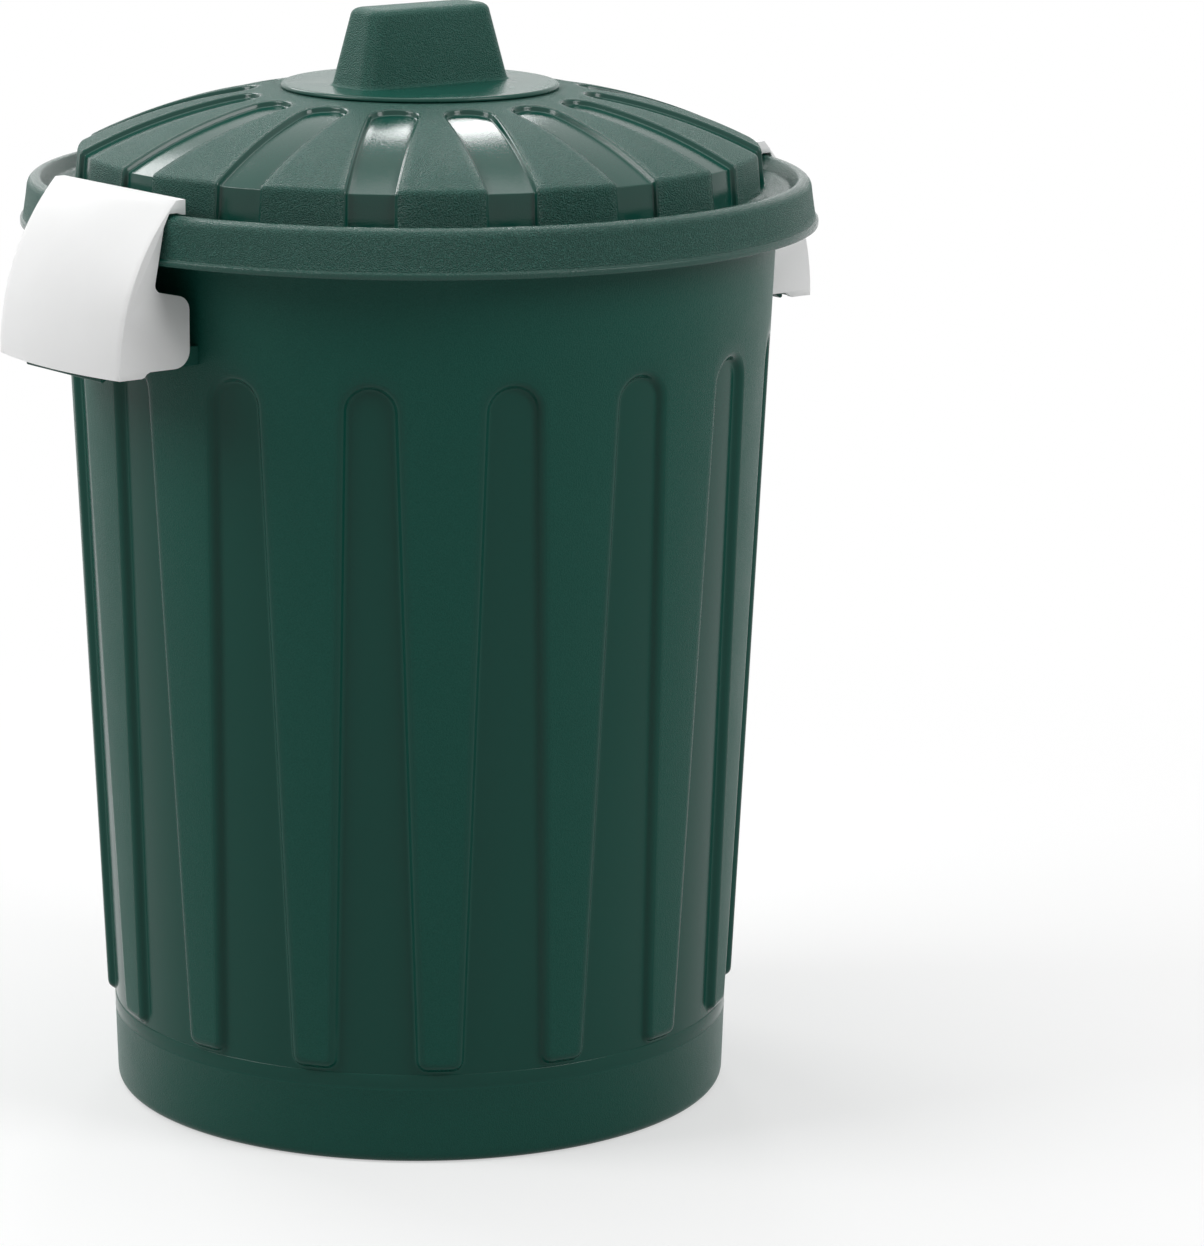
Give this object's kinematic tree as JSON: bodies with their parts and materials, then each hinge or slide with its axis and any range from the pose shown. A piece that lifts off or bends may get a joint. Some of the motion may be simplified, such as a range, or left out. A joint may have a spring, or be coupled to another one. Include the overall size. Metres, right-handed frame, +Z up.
{
  "type": "lidded refuse bin",
  "caption": "Round tapered moulded bin with a fluted tub, a ribbed domed lid with a centre grip, and clip handles over the lid's rim on both sides.",
  "frame": {"origin": "centre of the bin's foot, on the floor", "axes": "+Z up along the bin's axis, X through the two clip handles, Y across them"},
  "size_m": [0.4682, 0.42, 0.5809],
  "materials": {
    "green_body": "satin dark green moulded polypropylene",
    "green_lid": "fine grained, with glossy grooves",
    "green_grip": "glossy flange, grained hand block",
    "white_clip": "smooth white moulded polypropylene"
  },
  "bodies": {
    "tub": {"tub": "green_body"},
    "lid": {"lid": "green_lid", "lid_grip": "green_grip"},
    "handle_left": {"handle_left": "white_clip"},
    "handle_right": {"handle_right": "white_clip"}
  },
  "joints": [
    {"name": "lid_lift", "type": "slide", "parent": "tub", "child": "lid", "axis": [0, 0, 1], "range_m": [0, 0.021]},
    {"name": "handle_left_swing", "type": "hinge", "parent": "tub", "child": "handle_left", "pos_m": [-0.217, 0, 0.419], "axis": [0, -1, 0], "range_deg": [0, 100]},
    {"name": "handle_right_swing", "type": "hinge", "parent": "tub", "child": "handle_right", "pos_m": [0.217, 0, 0.419], "axis": [0, 1, 0], "range_deg": [0, 100]}
  ],
  "couplings": [
    {"joint": "handle_left_swing", "follows": "lid_lift", "rad_per_m": 83.1},
    {"joint": "handle_right_swing", "follows": "lid_lift", "rad_per_m": 83.1}
  ]
}
